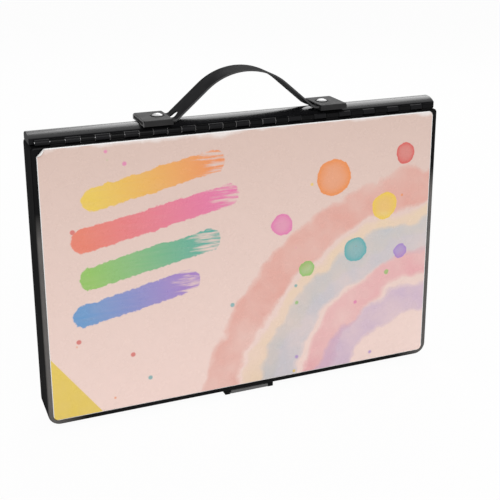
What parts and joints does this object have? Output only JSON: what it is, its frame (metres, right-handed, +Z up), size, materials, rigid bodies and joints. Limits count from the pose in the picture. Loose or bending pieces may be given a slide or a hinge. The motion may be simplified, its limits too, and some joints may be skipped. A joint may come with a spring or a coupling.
{
  "type": "art supply case",
  "caption": "Slim black case in two hinged halves on a rounded spine, with a strap handle, a latch and trays of art supplies.",
  "frame": {"origin": "middle of the underside, level with the latch lugs that the closed case stands on", "axes": "+X along the width, the printed front faces -Y, +Z up towards the handle"},
  "size_m": [0.292, 0.029, 0.2364],
  "materials": {
    "black_gloss": "glossy moulded black plastic",
    "black_satin": "satin black plastic",
    "strap": "fine grained black strap",
    "bright_steel": "bright nickel plated steel",
    "printed_card": "glossy printed card in soft pink and beige",
    "tray_black": "thin moulded black sheet",
    "pen_white": "white barrel",
    "pen_cap": "caps in many colours",
    "pastel": "waxy colour in many hues",
    "crayon": "waxy colour in many hues",
    "paper_wrap": "plain paper wrap",
    "glue_white": "white tube",
    "glue_cap": "orange cap",
    "sponge": "open yellow foam",
    "pencil_paint": "lacquer in many hues over pale wood",
    "pencil_black": "black lacquer over pale wood",
    "pencil_lead": "coloured lead",
    "palette_white": "white moulded plastic",
    "paint": "pressed dry paint in many hues",
    "ruler_clear": "pale blue plastic",
    "eraser": "white vinyl",
    "sharpener": "red plastic",
    "scissor_grip": "blue plastic",
    "brush_wood": "red lacquer",
    "bristle": "brown hair",
    "clip": "plain wood"
  },
  "bodies": {
    "rear_half": {"rear_shell": "black_gloss", "rear_tray": "tray_black", "latch_pin": "bright_steel", "graphite_pencil": "pencil_black", "colour_pencils": "pencil_paint", "pencil_leads": "pencil_lead", "palette": "palette_white", "paint_cakes": "paint", "ruler": "ruler_clear", "eraser": "eraser", "eraser_sleeve": "paper_wrap", "sharpener_body": "sharpener", "sharpener_blade": "bright_steel", "sharpener_screw": "bright_steel", "scissor_blades": "bright_steel", "scissor_handles": "scissor_grip", "scissor_pivot": "bright_steel", "brush_handle": "brush_wood", "brush_ferrule": "bright_steel", "brush_bristles": "bristle", "clip_jaws": "clip", "clip_springs": "bright_steel"},
    "spine": {"spine": "black_gloss", "front_hinge_rod": "bright_steel", "rear_hinge_rod": "bright_steel", "left_keeper_base": "black_satin", "right_keeper_base": "black_satin", "left_keeper_cap": "black_satin", "right_keeper_cap": "black_satin", "rivets": "bright_steel", "rivet_washers": "bright_steel"},
    "front_half": {"front_shell": "black_gloss", "front_card": "printed_card", "front_tray": "tray_black", "felt_pen_barrels": "pen_white", "felt_pen_caps": "pen_cap", "oil_pastels": "pastel", "oil_pastel_sleeves": "paper_wrap", "crayons": "crayon", "crayon_wrappers": "paper_wrap", "glue_tube": "glue_white", "glue_cap": "glue_cap", "sponge": "sponge"},
    "latch": {"latch_clasp": "black_gloss"},
    "handle": {"handle_strap": "strap"}
  },
  "joints": [
    {"name": "spine_hinge", "type": "hinge", "parent": "rear_half", "child": "spine", "pos_m": [0, 0.0121, 0.2005], "axis": [-1, 0, 0], "range_deg": [0, 90]},
    {"name": "front_hinge", "type": "hinge", "parent": "spine", "child": "front_half", "pos_m": [0, -0.0121, 0.2005], "axis": [-1, 0, 0], "range_deg": [0, 90]},
    {"name": "latch_hinge", "type": "hinge", "parent": "rear_half", "child": "latch", "pos_m": [0, 0.008, 0.002], "axis": [1, 0, 0], "range_deg": [0, 100]},
    {"name": "handle_slide", "type": "slide", "parent": "spine", "child": "handle", "axis": [1, 0, 0], "range_m": [-0.002, 0.002]}
  ]
}
